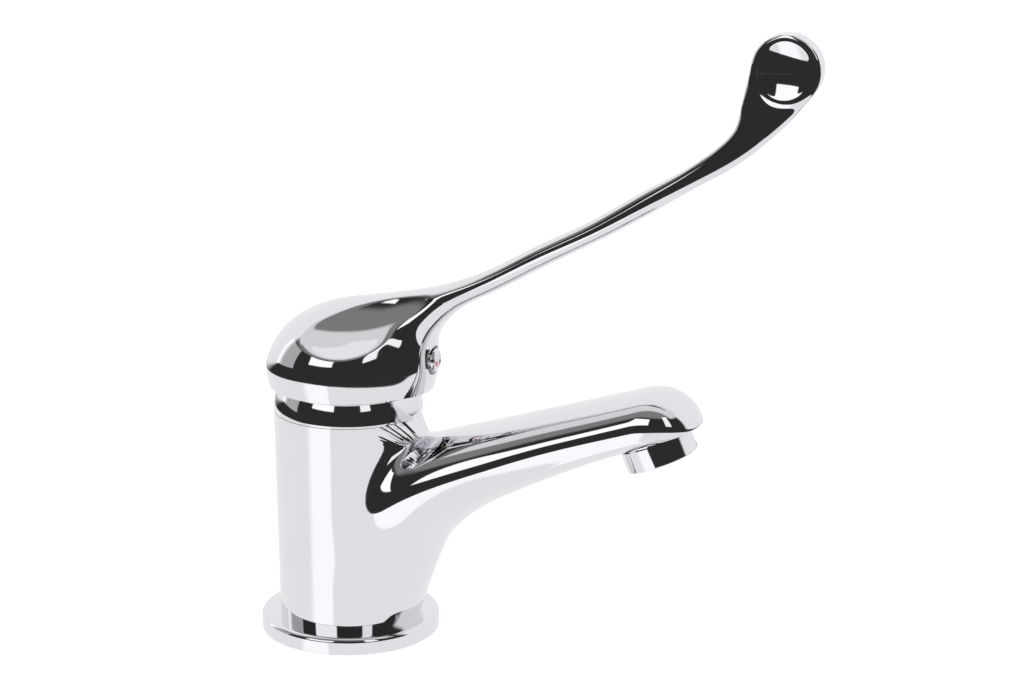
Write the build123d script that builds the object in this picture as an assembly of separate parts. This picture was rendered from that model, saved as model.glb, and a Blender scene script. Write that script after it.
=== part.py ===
from build123d import *
from math import cos, radians, sin
import os

# Single-lever basin tap with a long lever for the elbow or the wrist.
# Frame: origin at the centre of the underside, on the deck. +Z is up, +X points to the spout
# and the lever, and -Y is the hot side. The tap is shown closed and centred.

# Base ring and its gasket
ring_flange = 7.05
ring_height = 5.8
ring_edge_round = 1.2
ring_seat_clearance = 0.15
gasket_width = 4.5
gasket_edge_distance = 2.35
gasket_thickness = 2.2
gasket_side_clearance = 0.1

# Cast body
foot_radius = 23.7
top_radius = 24.9
body_height = 76.6
seam_chamfer = 0.35
root_round = 4.5
spigot_step = 1.7
spigot_lift = 0.6
spigot_wall = 3.5
recess_depth = 22.0
chamber_radius = 20.2
chamber_depth = 33.6
nut_thread_radius = 22.4
nut_thread_depth = 10.6

# Inlets, fixing stud and waterways of the body
inlet_radius = 4.5
inlet_spacing = 17.0
inlet_set_back = 4.5
inlet_thread_depth = 12.0
port_radius = 3.0
stud_radius = 3.4
stud_set_back = 13.5
stud_thread_depth = 12.0
outlet_port_radius = 3.6
outlet_port_forward = 7.5
waterway_radius = 4.2
waterway_above_recess = 6.0
waterway_bend_forward = 52.0
waterway_bend_below_top = 18.6

# Spout, whose outlet is square to its underside
spout_reach = 109.5
outlet_below_top = 5.5
outlet_tilt = 23.0

# Aerator
aerator_radius = 12.0
aerator_drop = 7.1
aerator_wall = 1.3
aerator_thread_radius = 11.0
aerator_thread_length = 7.0
aerator_thread_clearance = 0.05
aerator_rim_round = 0.5
aerator_slot_width = 7.0
aerator_slot_height = 2.4
aerator_slot_depth = 0.6
aerator_lip = 1.1
washer_thickness = 1.5
mixing_chamber_radius = 8.2
mixing_chamber_length = 3.7
insert_thickness = 3.0
insert_hole_radius = 0.85
insert_hole_pitch = 3.2
insert_hole_rings = 2
screen_thickness = 0.6
screen_hole_radius = 1.0

# Cartridge housing and base
housing_radius = 20.0
housing_wall = 2.2
housing_roof_thickness = 4.0
neck_radius = 14.4
neck_length = 10.0
base_flange_thickness = 2.0
base_height = 7.0
base_clearance = 0.1
disc_pocket_depth = 2.0
seal_depth = 1.6
seal_wall = 1.5
peg_radius = 1.6
peg_length = 1.4
peg_spread = 15.0

# Ceramic discs and the carrier
fixed_disc_radius = 16.0
fixed_disc_thickness = 4.0
moving_disc_radius = 13.4
moving_disc_thickness = 4.0
disc_cavity_depth = 2.4
cavity_bar_length = 17.0
cavity_bar_width = 5.0
cavity_bar_set_back = 8.0
cavity_stem_width = 8.6
cavity_stem_reach = 9.0
carrier_half_width = 9.0
carrier_height = 5.8
slide_clearance = 0.2

# Rotor, which swivels with the lever
rotor_radius = 17.4
rotor_plate_thickness = 5.0
turret_radius = 12.0
turret_length = 19.0
turret_clearance = 0.1
turret_slot_half_length = 8.2
slip_ring_thickness = 1.0
slip_ring_clearance = 0.2
rotor_o_ring_radius = 0.65
rotor_o_ring_above_pivot = 3.0

# Spindle, which the lever turns and lifts, and its pin
pivot_above_floor = 34.0
spindle_lean = 12.5
spindle_square = 8.0
spindle_upper_length = 28.2
spindle_shoulder = 4.0
spindle_top_chamfer = 0.8
spindle_arm = 16.5
spindle_arm_radius = 3.0
spindle_clearance = 0.2
ball_radius = 4.0
ball_clearance = 0.15
pin_radius = 1.5
pin_length = 22.0
pin_clearance = 0.03

# Cartridge nut and the bonnet collar over it
nut_length = 9.0
nut_bore_radius = 14.9
nut_hex_across = 36.0
nut_hex_height = 3.2
nut_thread_clearance = 0.1
collar_height = 13.2
collar_wall = 1.9
collar_clearance = 0.15
collar_opening_radius = 14.2
collar_top_radius = 24.4
collar_round = 4.4
collar_o_ring_radius = 0.85
collar_o_ring_height = 2.6
o_ring_clearance = 0.05

# Lever: hub, stalk and pad
rim_above_pivot = 8.6
rim_radius = 26.2
hub_radius = 27.3
hub_height = 27.6
cavity_radius = 25.15
cavity_height = 18.0
lever_reach = 147.5
lever_rise = 115.5
pad_radius = 11.1
pad_thickness = 6.6
pad_edge_round = 2.4
dish_radius = 8.4
dish_depth = 1.8
boss_radius = 9.0
boss_start = 18.5
boss_roof = 2.0
socket_clearance = 0.05
socket_end_gap = 0.3

# Side hollow of the hub: a large barrel lies along each shoulder and takes out a drop shape.
hollow_length = 60.0
hollow_radius = 22.0
hollow_end_share = 0.76
hollow_forward = 11.1
hollow_side = 24.3
hollow_above_rim = 38.5
hollow_rise = 16.4
hollow_turn = 20.0

# Grub screw, which clamps the lever to the spindle
screw_radius = 2.5
screw_length = 5.0
screw_height = 25.2
screw_clearance = 0.04
screw_socket_across = 2.5
screw_socket_depth = 2.5

# Index plug in the front of the hub, with its hot and cold marks
button_above_rim = 10.7
button_forward = 30.6
button_recess_radius = 4.7
button_recess_depth = 2.2
plug_radius = 3.8
plug_proud = 1.5
plug_edge_round = 1.2
plug_stem_radius = 2.3
plug_stem_length = 3.0
plug_clearance = 0.05
mark_radius = 0.75
mark_depth = 0.3
mark_side = 1.5
mark_drop = 0.9
mark_clearance = 0.03

# One overrun for every cut
overrun = 1.0

# Stations of the spout from the foot to the nose. Each one gives the underside and the top:
# along X as shares of the way from the barrel's front to the outlet, and up as shares of the
# body's height. Then come the half width as a share of the body's top radius, how high the
# widest level lies, and how full the section's curve is.
spout_station_shares = [
    (-0.0018, 0.030, -0.4238, 0.030, 0.900, 0.50, 0.552),
    (0.0526, 0.270, -0.3720, 0.415, 0.905, 0.50, 0.552),
    (0.1043, 0.416, -0.2943, 0.590, 0.880, 0.50, 0.556),
    (0.1833, 0.538, -0.1002, 0.830, 0.825, 0.50, 0.564),
    (0.2881, 0.634, 0.0914, 0.933, 0.750, 0.50, 0.572),
    (0.4525, 0.739, 0.3153, 1.012, 0.680, 0.49, 0.580),
    (0.6441, 0.845, 0.5418, 1.093, 0.640, 0.47, 0.590),
    (0.7968, 0.919, 0.7062, 1.150, 0.625, 0.45, 0.605),
    (0.9547, 0.992, 0.8770, 1.212, 0.620, 0.42, 0.630),
]
# The nose beyond the outlet: how far along it each section lies, and its remaining size.
nose_shares = [(0.34, 0.945), (0.64, 0.79), (0.86, 0.56), (0.97, 0.30)]
nose_length_share = 0.150
nose_droop_share = 0.075

# Stations of the lever from the hub's front to the pad, as shares of the lever's reach and of
# its height over the rim, with the half width as a share of the hub's radius.
lever_station_shares = [
    (0.199, 0.012, 0.010, 0.012, 0.590, 0.50, 0.552),
    (0.209, 0.075, 0.000, 0.120, 0.555, 0.50, 0.552),
    (0.209, 0.140, -0.020, 0.215, 0.480, 0.55, 0.552),
    (0.228, 0.195, 0.060, 0.262, 0.385, 0.62, 0.552),
    (0.281, 0.259, 0.195, 0.301, 0.262, 0.66, 0.552),
    (0.356, 0.312, 0.323, 0.363, 0.190, 0.66, 0.552),
    (0.470, 0.397, 0.439, 0.447, 0.164, 0.60, 0.552),
    (0.597, 0.488, 0.566, 0.534, 0.150, 0.54, 0.560),
    (0.722, 0.586, 0.692, 0.636, 0.138, 0.50, 0.575),
    (0.812, 0.661, 0.776, 0.701, 0.124, 0.48, 0.600),
    (0.903, 0.735, 0.854, 0.779, 0.112, 0.48, 0.640),
    (0.966, 0.805, 0.888, 0.831, 0.104, 0.48, 0.670),
    (1.022, 0.878, 0.902, 0.895, 0.100, 0.48, 0.690),
    (1.060, 0.957, 0.920, 0.968, 0.098, 0.48, 0.700),
]
# The last two sections of the lever, where the stalk runs out into the pad
pad_station_shares = [
    lever_station_shares[-1],
    (1.066, 1.030, 0.933, 1.030, 0.090, 0.48, 0.700),
]
# Outer and inner profile of the hub: radius shares of the hub's and the cavity's radius, and
# height shares of the hub's and the cavity's height over the rim.
hub_profile_shares = [
    (1.0, 0.076), (0.985, 0.190), (0.956, 0.340), (0.894, 0.489), (0.795, 0.641),
    (0.637, 0.790), (0.465, 0.885), (0.250, 0.960), (0.0, 1.0),
]
cavity_profile_shares = [
    (1.0, 0.200), (0.960, 0.430), (0.840, 0.640), (0.670, 0.800), (0.460, 0.920), (0.0, 1.0),
]

# Radii of the foot
spigot_radius = foot_radius - spigot_step
recess_radius = spigot_radius - spigot_wall
ring_outer_radius = foot_radius + ring_flange
gasket_outer_radius = ring_outer_radius - gasket_edge_distance
gasket_inner_radius = gasket_outer_radius - gasket_width

# Main levels over the deck
chamber_floor = body_height - chamber_depth
outlet_height = body_height - outlet_below_top
waterway_low_height = recess_depth + waterway_above_recess
waterway_bend_height = body_height - waterway_bend_below_top
pivot_height = chamber_floor + pivot_above_floor
rim_height = pivot_height + rim_above_pivot
button_height = rim_height + button_above_rim

# The outlet's own directions: along the underside, and up its axis.
tilt = radians(outlet_tilt)
outlet_forward = Vector(cos(tilt), 0, sin(tilt))
outlet_up = Vector(-sin(tilt), 0, cos(tilt))
outlet_rim = Vector(spout_reach, 0, outlet_height)
outlet_face = outlet_rim + outlet_up * aerator_drop
outlet_plane = Plane(origin=outlet_face, x_dir=outlet_forward, z_dir=outlet_up)
socket_depth = aerator_thread_length + washer_thickness

# The spindle's own directions: up its axis, and square to it towards the front.
lean = radians(spindle_lean)
spindle_up = Vector(sin(lean), 0, cos(lean))
spindle_front = Vector(cos(lean), 0, -sin(lean))
pivot = Vector(0, 0, pivot_height)
spindle_plane = Plane(origin=pivot, x_dir=spindle_front, z_dir=spindle_up)
disc_rest = -spindle_arm * sin(lean)

# Levels of the cartridge, from the chamber's floor up
flange_top = chamber_floor + base_flange_thickness
base_top = chamber_floor + base_height
fixed_disc_low = base_top - disc_pocket_depth
moving_disc_low = fixed_disc_low + fixed_disc_thickness
carrier_low = moving_disc_low + moving_disc_thickness
rotor_low = carrier_low + slide_clearance
rotor_plate_low = carrier_low + carrier_height + slide_clearance
rotor_plate_top = rotor_plate_low + rotor_plate_thickness
turret_top = rotor_plate_top + turret_length
roof_low = rotor_plate_top + slip_ring_thickness
roof_top = roof_low + housing_roof_thickness
neck_top = roof_top + neck_length
housing_bore = housing_radius - housing_wall
turret_bore = turret_radius + turret_clearance

# Levels and radii of the nut and the collar
nut_radius = nut_thread_radius - nut_thread_clearance
nut_top = roof_top + nut_length
hex_top = nut_top + nut_hex_height
collar_top = body_height + collar_height
collar_bore = nut_radius + collar_clearance

# The water ports: place along X and Y, and radius
ports = [
    (-inlet_set_back, -inlet_spacing / 2, port_radius),
    (-inlet_set_back, inlet_spacing / 2, port_radius),
    (outlet_port_forward, 0, outlet_port_radius),
]

low_middle = (Align.CENTER, Align.CENTER, Align.MIN)


# Turns a closed outline of radius and height points about Z.
def turned(points):
    outline = Polyline(*[(r, 0, z) for r, z in points], close=True)
    return revolve(make_face(outline), axis=Axis.Z)


def tube(outer, inner, low, high):
    return turned([(inner, low), (outer, low), (outer, high), (inner, high)])


def disc(radius, low, high):
    return turned([(0, low), (radius, low), (radius, high), (0, high)])


def pillar(radius, x, y, low, high):
    return Pos(x, y, 0) * disc(radius, low, high)


def block(length, width, low, high):
    return Pos(0, 0, low) * Box(length, width, high - low, align=low_middle)


def along(plane, radius, low, high):
    return plane * disc(radius, low, high)


# An O-ring of a given section, and the groove that holds it.
def o_ring(major_radius, ring_radius, height):
    return Pos(0, 0, height) * Torus(major_radius, ring_radius)


def o_ring_groove(major_radius, ring_radius, height, outer):
    half = ring_radius + o_ring_clearance
    return tube(outer, major_radius - half, height - half, height + half)


# The circular edges of a solid of revolution about Z, at one radius and height.
def rims(solid, radius, height):
    circles = solid.edges().filter_by(GeomType.CIRCLE)
    level = circles.filter_by_position(Axis.Z, height, height)
    return level.filter_by(lambda edge: abs(edge.radius - radius) < pin_clearance)


# One closed section between an underside point and a top point of the XZ plane, made of four
# curves that are square to each other where they meet. Fullness is the length of their handles.
def section(under, top, half_width, belly_share, fullness, size=1):
    line = top - under
    belly = under + line * belly_share
    side = Vector(0, half_width, 0) * size
    up = line * (1 - belly_share) * size
    down = line * -belly_share * size
    corners = [(side, up), (up, side * -1), (side * -1, down), (down, side)]
    edges = []
    for arm, turn in corners:
        start = belly + arm
        end = belly + turn
        edges.append(Edge.make_bezier(start, start + turn * fullness, end + arm * fullness, end))
    return Wire(edges)


def station_points(station, start, end, low, height):
    length = end - start
    under = Vector(start + station[0] * length, 0, low + station[1] * height)
    top = Vector(start + station[2] * length, 0, low + station[3] * height)
    return under, top


def station_sections(shares, start, end, low, height, radius):
    rings = []
    for station in shares:
        under, top = station_points(station, start, end, low, height)
        rings.append(section(under, top, station[4] * radius, station[5], station[6]))
    return rings


def spout_solid():
    rings = station_sections(
        spout_station_shares, top_radius, spout_reach, 0, body_height, top_radius
    )
    last = spout_station_shares[-1]
    under, top = station_points(last, top_radius, spout_reach, 0, body_height)
    nose_length = nose_length_share * spout_reach
    nose_rings = [rings[-1]]
    for share, size in nose_shares:
        drop = nose_droop_share * body_height * share ** 2
        shift = outlet_forward * (nose_length * share) - outlet_up * drop
        ring = section(under + shift, top + shift, last[4] * top_radius, last[5], last[6], size)
        nose_rings.append(ring)
    return Solid.make_loft(rings) + Solid.make_loft(nose_rings)


def waterway_solid():
    low = Vector(outlet_port_forward, 0, waterway_low_height)
    bend = Vector(waterway_bend_forward, 0, waterway_bend_height)
    chamber_middle = socket_depth + mixing_chamber_length - waterway_radius
    path = Polyline(low, bend, outlet_face + outlet_up * chamber_middle)
    mouth = Plane(origin=low, z_dir=path.edges()[0] % 0)
    core = sweep(mouth * Circle(waterway_radius), path, transition=Transition.ROUND)
    bowl = Pos(*low) * Sphere(waterway_radius)
    riser_top = chamber_floor + overrun
    riser = pillar(outlet_port_radius, outlet_port_forward, 0, waterway_low_height, riser_top)
    return core + bowl + riser


def is_crease(edge):
    box = edge.bounding_box()
    return box.size.Z > body_height / 2 and box.max.X < top_radius + overrun


def tap_body():
    barrel = turned([
        (0, spigot_lift),
        (spigot_radius, spigot_lift),
        (spigot_radius, ring_height),
        (foot_radius, ring_height),
        (top_radius, body_height - seam_chamfer),
        (top_radius - seam_chamfer, body_height),
        (0, body_height),
    ])
    wide = spout_reach + hub_radius
    spout = spout_solid() - block(2 * wide, 2 * wide, -body_height, ring_height)
    body = barrel + spout
    # The two creases that run from the foot up to the valley behind the spout are rounded.
    creases = [edge for edge in body.edges().filter_by(GeomType.BSPLINE) if is_crease(edge)]
    body = fillet(creases, root_round)
    # The spout's end is cut flat and square round the outlet.
    under_outlet = along(outlet_plane, 2 * aerator_radius, -body_height, 0)
    behind = Pos(spout_reach / 2, 0, 0) * Box(
        spout_reach, 2 * wide, 2 * wide, align=(Align.MAX, Align.CENTER, Align.CENTER)
    )
    body = body - (under_outlet - behind)
    body = body - disc(chamber_radius, chamber_floor, body_height + overrun)
    body = body - disc(nut_thread_radius, body_height - nut_thread_depth, body_height + overrun)
    body = body - disc(recess_radius, 0, recess_depth)
    body = body - waterway_solid()
    for side in (-1, 1):
        y = side * inlet_spacing / 2
        thread_top = recess_depth + inlet_thread_depth
        body = body - pillar(inlet_radius, -inlet_set_back, y, 0, thread_top)
        body = body - pillar(port_radius, -inlet_set_back, y, 0, chamber_floor + overrun)
        hole_low = chamber_floor - peg_length - base_clearance
        hole_radius = peg_radius + base_clearance
        body = body - pillar(hole_radius, 0, side * peg_spread, hole_low, chamber_floor + overrun)
    body = body - pillar(stud_radius, -stud_set_back, 0, 0, recess_depth + stud_thread_depth)
    body = body - along(outlet_plane, aerator_thread_radius, -overrun, socket_depth)
    chamber_end = socket_depth + mixing_chamber_length
    return body - along(outlet_plane, mixing_chamber_radius, 0, chamber_end)


def base_ring():
    bore = spigot_radius + ring_seat_clearance
    ring = tube(ring_outer_radius, bore, 0, ring_height)
    ring = fillet(rims(ring, ring_outer_radius, ring_height), ring_edge_round)
    groove_outer = gasket_outer_radius + gasket_side_clearance
    groove_inner = gasket_inner_radius - gasket_side_clearance
    return ring - tube(groove_outer, groove_inner, -overrun, gasket_thickness)


def base_gasket():
    return tube(gasket_outer_radius, gasket_inner_radius, 0, gasket_thickness)


def bonnet_collar():
    shell = turned([
        (0, body_height),
        (top_radius - seam_chamfer, body_height),
        (top_radius, body_height + seam_chamfer),
        (collar_top_radius, collar_top),
        (0, collar_top),
    ])
    shell = fillet(rims(shell, collar_top_radius, collar_top), collar_round)
    hollow = disc(collar_bore, body_height - overrun, collar_top - collar_wall)
    roof_edge = rims(hollow, collar_bore, collar_top - collar_wall)
    hollow = fillet(roof_edge, collar_round - collar_wall)
    return shell - hollow - disc(collar_opening_radius, body_height, collar_top + overrun)


def collar_ring_radius():
    return collar_bore - o_ring_clearance - collar_o_ring_radius


def cartridge_nut():
    nut = tube(nut_radius, nut_bore_radius, roof_top, nut_top)
    hexagon = RegularPolygon(nut_hex_across / 2, 6, major_radius=False)
    head = extrude(Pos(0, 0, nut_top) * hexagon, nut_hex_height)
    head = head - disc(nut_bore_radius, nut_top - overrun, hex_top + overrun)
    height = body_height + collar_o_ring_height
    groove = o_ring_groove(
        collar_ring_radius(), collar_o_ring_radius, height, nut_radius + overrun
    )
    return nut + head - groove


def collar_o_ring():
    height = body_height + collar_o_ring_height
    return o_ring(collar_ring_radius(), collar_o_ring_radius, height)


def cartridge_housing():
    return turned([
        (housing_bore, flange_top),
        (housing_radius, flange_top),
        (housing_radius, roof_top),
        (neck_radius, roof_top),
        (neck_radius, neck_top),
        (turret_bore, neck_top),
        (turret_bore, roof_low),
        (housing_bore, roof_low),
    ])


def cartridge_base():
    plug = disc(housing_bore - base_clearance, chamber_floor, base_top)
    flange = disc(housing_radius - base_clearance, chamber_floor, flange_top)
    pocket = disc(fixed_disc_radius + base_clearance, fixed_disc_low, base_top + overrun)
    base = plug + flange - pocket
    for x, y, radius in ports:
        base = base - pillar(radius, x, y, chamber_floor - overrun, base_top)
        seat = radius + seal_wall
        base = base - pillar(seat, x, y, chamber_floor - overrun, chamber_floor + seal_depth)
        base = base - pillar(seat, x, y, fixed_disc_low - seal_depth, base_top)
    for side in (-1, 1):
        peg_low = chamber_floor - peg_length
        base = base + pillar(peg_radius, 0, side * peg_spread, peg_low, flange_top)
    return base


# One ring round each water port, in its seat in the base.
def seal_rings(low):
    rings = []
    for x, y, radius in ports:
        outer = radius + seal_wall - o_ring_clearance
        rings.append(Pos(x, y, 0) * tube(outer, radius, low, low + seal_depth))
    return Compound(rings)


def port_seals():
    return seal_rings(chamber_floor)


def disc_seals():
    return seal_rings(fixed_disc_low - seal_depth)


def fixed_disc():
    plate = disc(fixed_disc_radius, fixed_disc_low, moving_disc_low)
    for x, y, radius in ports:
        plate = plate - pillar(radius, x, y, fixed_disc_low - overrun, moving_disc_low + overrun)
    return plate


# The cavity under the moving disc joins the two inlets to the outlet once it has slid forward.
def moving_disc():
    plate = disc(moving_disc_radius, moving_disc_low, carrier_low)
    low = moving_disc_low - overrun
    high = moving_disc_low + disc_cavity_depth
    bar = Pos(-cavity_bar_set_back, 0, 0) * block(cavity_bar_width, cavity_bar_length, low, high)
    stem_length = cavity_stem_reach + cavity_bar_set_back
    stem_middle = cavity_stem_reach - stem_length / 2
    stem = Pos(stem_middle, 0, 0) * block(stem_length, cavity_stem_width, low, high)
    return Pos(disc_rest, 0, 0) * (plate - bar - stem)


def disc_carrier():
    carrier = disc(moving_disc_radius, carrier_low, carrier_low + carrier_height)
    length = 2 * moving_disc_radius
    carrier = carrier & block(length, 2 * carrier_half_width, carrier_low, rotor_plate_low)
    hole = disc(ball_radius + ball_clearance, carrier_low - overrun, rotor_plate_low)
    return Pos(disc_rest, 0, 0) * (carrier - hole)


def rotor():
    hull = disc(rotor_radius, rotor_low, rotor_plate_top)
    hull = hull + disc(turret_radius, rotor_plate_top, turret_top)
    channel_width = 2 * (carrier_half_width + slide_clearance)
    channel = block(2 * housing_radius, channel_width, rotor_low - overrun, rotor_plate_low)
    slot_width = spindle_square + 2 * spindle_clearance
    slot = block(2 * turret_slot_half_length, slot_width, rotor_low, turret_top + overrun)
    groove = o_ring_groove(
        rotor_ring_radius(), rotor_o_ring_radius, pivot_height + rotor_o_ring_above_pivot,
        turret_radius + overrun,
    )
    return hull - channel - slot - groove - pin_cylinder(pin_radius + pin_clearance, pin_length)


def rotor_ring_radius():
    return turret_bore - o_ring_clearance - rotor_o_ring_radius


def rotor_o_ring():
    height = pivot_height + rotor_o_ring_above_pivot
    return o_ring(rotor_ring_radius(), rotor_o_ring_radius, height)


def slip_ring():
    inner = turret_radius + slip_ring_clearance
    return tube(rotor_radius - slip_ring_clearance, inner, rotor_plate_top, roof_low)


def pin_cylinder(radius, length):
    return Pos(0, 0, pivot_height) * Rot(90, 0, 0) * Cylinder(radius, length)


def spindle_pin():
    return pin_cylinder(pin_radius, pin_length)


def spindle():
    square = block(spindle_square, spindle_square, -spindle_shoulder, spindle_upper_length)
    square = chamfer(square.edges().group_by(Axis.Z)[-1], spindle_top_chamfer)
    arm = disc(spindle_arm_radius, -spindle_arm, 0)
    ball = Pos(0, 0, -spindle_arm) * Sphere(ball_radius)
    pin_hole = pin_cylinder(pin_radius + pin_clearance, spindle_square + 2 * overrun)
    return spindle_plane * (square + arm + ball) - pin_hole


# The screw's own plane: square to its axis, where it presses on the spindle's flat.
def screw_plane():
    start = pivot + spindle_up * screw_height + spindle_front * (spindle_square / 2)
    return Plane(origin=start, z_dir=spindle_front)


def grub_screw():
    screw = disc(screw_radius, 0, screw_length)
    key = extrude(RegularPolygon(screw_socket_across / 2, 6, major_radius=False), overrun)
    key = scale(key, by=(1, 1, screw_socket_depth / overrun))
    return screw_plane() * (screw - Pos(0, 0, screw_length - screw_socket_depth) * key)


# The plug's own plane: square to the front of the hub, in the middle of the recess.
def button_plane(depth):
    return Plane(origin=Vector(button_forward - depth, 0, button_height), z_dir=Vector(1, 0, 0))


def hub_solid():
    points = [(0, rim_height), (rim_radius, rim_height)]
    for radius_share, height_share in hub_profile_shares:
        points.append((radius_share * hub_radius, rim_height + height_share * hub_height))
    base = Polyline(*[(r, 0, z) for r, z in points[:3]])
    dome = Spline(*[(r, 0, z) for r, z in points[2:]])
    axis_line = Line((0, 0, points[-1][1]), (0, 0, rim_height))
    return revolve(make_face(base + dome + axis_line), axis=Axis.Z)


def hub_cavity():
    points = [(0, rim_height - overrun), (cavity_radius, rim_height - overrun)]
    for radius_share, height_share in cavity_profile_shares:
        points.append((radius_share * cavity_radius, rim_height + height_share * cavity_height))
    return turned(points)


def side_hollow(side):
    half = hollow_length / 2
    end_radius = hollow_end_share * hollow_radius
    arc = ThreePointArc((-half, 0, end_radius), (0, 0, hollow_radius), (half, 0, end_radius))
    ends = Polyline((half, 0, end_radius), (half, 0, 0), (-half, 0, 0), (-half, 0, end_radius))
    barrel = revolve(make_face(arc + ends), axis=Axis.X)
    place = Pos(hollow_forward, side * hollow_side, rim_height + hollow_above_rim)
    return place * Rot(0, 0, -side * hollow_turn) * Rot(0, -hollow_rise, 0) * barrel


def pad_solid():
    coin = disc(pad_radius, -pad_thickness / 2, pad_thickness / 2)
    rim_edges = coin.edges().filter_by(GeomType.CIRCLE)
    coin = fillet(rim_edges, pad_edge_round)
    return Pos(lever_reach, 0, rim_height + lever_rise) * Rot(90, 0, 0) * coin


def pad_dish(side):
    dish_curve = (dish_radius ** 2 + dish_depth ** 2) / (2 * dish_depth)
    y = side * (pad_thickness / 2 - dish_depth + dish_curve)
    return Pos(lever_reach, y, rim_height + lever_rise) * Sphere(dish_curve)


def lever_handle():
    lever = hub_solid()
    for shares in (lever_station_shares, pad_station_shares):
        rings = station_sections(shares, 0, lever_reach, rim_height, lever_rise, hub_radius)
        lever = lever + Solid.make_loft(rings)
    for side in (-1, 1):
        lever = lever - side_hollow(side)
    lever = lever + pad_solid()
    for side in (-1, 1):
        lever = lever - pad_dish(side)
    boss = along(spindle_plane, boss_radius, boss_start, spindle_upper_length + boss_roof)
    lever = lever - (hub_cavity() - boss)
    socket_side = spindle_square + 2 * socket_clearance
    socket_top = spindle_upper_length + socket_end_gap
    lever = lever - spindle_plane * block(socket_side, socket_side, 0, socket_top)
    screw_hole = disc(screw_radius + screw_clearance, -overrun, boss_radius)
    lever = lever - screw_plane() * screw_hole
    key_hole = disc(plug_stem_radius, 0, button_forward)
    lever = lever - screw_plane() * key_hole
    recess = disc(button_recess_radius, 0, 2 * button_recess_depth)
    lever = lever - button_plane(button_recess_depth) * recess
    stem_hole = disc(plug_stem_radius + plug_clearance, -plug_stem_length - overrun, overrun)
    return lever - button_plane(button_recess_depth) * stem_hole


def mark_solid(side, radius, depth):
    return Pos(side * mark_side, 0, 0) * disc(radius, -mark_depth, depth)


def plug_face():
    front = Vector(button_forward + plug_proud, 0, button_height - mark_drop)
    return Plane(origin=front, x_dir=Vector(0, 1, 0), z_dir=Vector(1, 0, 0))


def index_plug():
    head_height = button_recess_depth + plug_proud
    head = disc(plug_radius, 0, head_height)
    head = fillet(rims(head, plug_radius, head_height), plug_edge_round)
    stem = disc(plug_stem_radius, -plug_stem_length, 0)
    plug = button_plane(button_recess_depth) * (head + stem)
    for side in (-1, 1):
        plug = plug - plug_face() * mark_solid(side, mark_radius + mark_clearance, overrun)
    return plug


def hot_mark():
    return plug_face() * mark_solid(-1, mark_radius, 0)


def cold_mark():
    return plug_face() * mark_solid(1, mark_radius, 0)


def aerator_bore():
    return aerator_thread_radius - aerator_thread_clearance - aerator_wall


def aerator_housing():
    shell = disc(aerator_radius, -aerator_drop, 0)
    shell = fillet(rims(shell, aerator_radius, -aerator_drop), aerator_rim_round)
    shell = shell + disc(aerator_thread_radius - aerator_thread_clearance, 0, aerator_thread_length)
    bore = aerator_bore()
    shell = shell - disc(bore, aerator_lip - aerator_drop, aerator_thread_length + overrun)
    shell = shell - disc(bore - aerator_lip, -aerator_drop - overrun, 0)
    for side in (-1, 1):
        slot = block(2 * aerator_slot_depth, aerator_slot_width, 0, aerator_slot_height)
        shell = shell - Pos(side * aerator_radius, 0, -aerator_drop) * slot
    return outlet_plane * shell


# Places on rings of six, twelve and more holes, with one in the middle.
def hole_places(pitch, rings):
    places = [Location((0, 0, 0))]
    for ring in range(1, rings + 1):
        places.extend(PolarLocations(ring * pitch, 6 * ring))
    return places


def drilled_plate(radius, low, high, hole_radius, rings):
    plate = disc(radius, low, high)
    holes = [
        place * disc(hole_radius, low - overrun, high + overrun)
        for place in hole_places(insert_hole_pitch, rings)
    ]
    return outlet_plane * (plate - holes)


def aerator_insert():
    radius = aerator_bore() - aerator_thread_clearance
    low = aerator_lip - aerator_drop
    high = low + insert_thickness
    return drilled_plate(radius, low, high, insert_hole_radius, insert_hole_rings)


def aerator_screen():
    radius = aerator_bore() - aerator_thread_clearance
    low = aerator_lip - aerator_drop + insert_thickness
    high = low + screen_thickness
    return drilled_plate(radius, low, high, screen_hole_radius, insert_hole_rings - 1)


def aerator_washer():
    outer = aerator_thread_radius - aerator_thread_clearance
    return outlet_plane * tube(outer, mixing_chamber_radius, aerator_thread_length, socket_depth)


parts = {
    "tap_body": tap_body,
    "base_ring": base_ring,
    "base_gasket": base_gasket,
    "bonnet_collar": bonnet_collar,
    "collar_o_ring": collar_o_ring,
    "cartridge_nut": cartridge_nut,
    "cartridge_housing": cartridge_housing,
    "cartridge_base": cartridge_base,
    "port_seals": port_seals,
    "disc_seals": disc_seals,
    "fixed_disc": fixed_disc,
    "moving_disc": moving_disc,
    "disc_carrier": disc_carrier,
    "slip_ring": slip_ring,
    "rotor": rotor,
    "rotor_o_ring": rotor_o_ring,
    "spindle_pin": spindle_pin,
    "spindle": spindle,
    "lever_handle": lever_handle,
    "grub_screw": grub_screw,
    "index_plug": index_plug,
    "hot_mark": hot_mark,
    "cold_mark": cold_mark,
    "aerator_housing": aerator_housing,
    "aerator_insert": aerator_insert,
    "aerator_screen": aerator_screen,
    "aerator_washer": aerator_washer,
}

os.makedirs("parts", exist_ok=True)
for name, make in parts.items():
    piece = make()
    export_step(piece, "parts/" + name + ".step")
    print(name, len(piece.solids()), round(sum(s.volume for s in piece.solids()), 1))
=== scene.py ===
import math

import bmesh
import bpy
import numpy as np
from mathutils import Matrix


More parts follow.
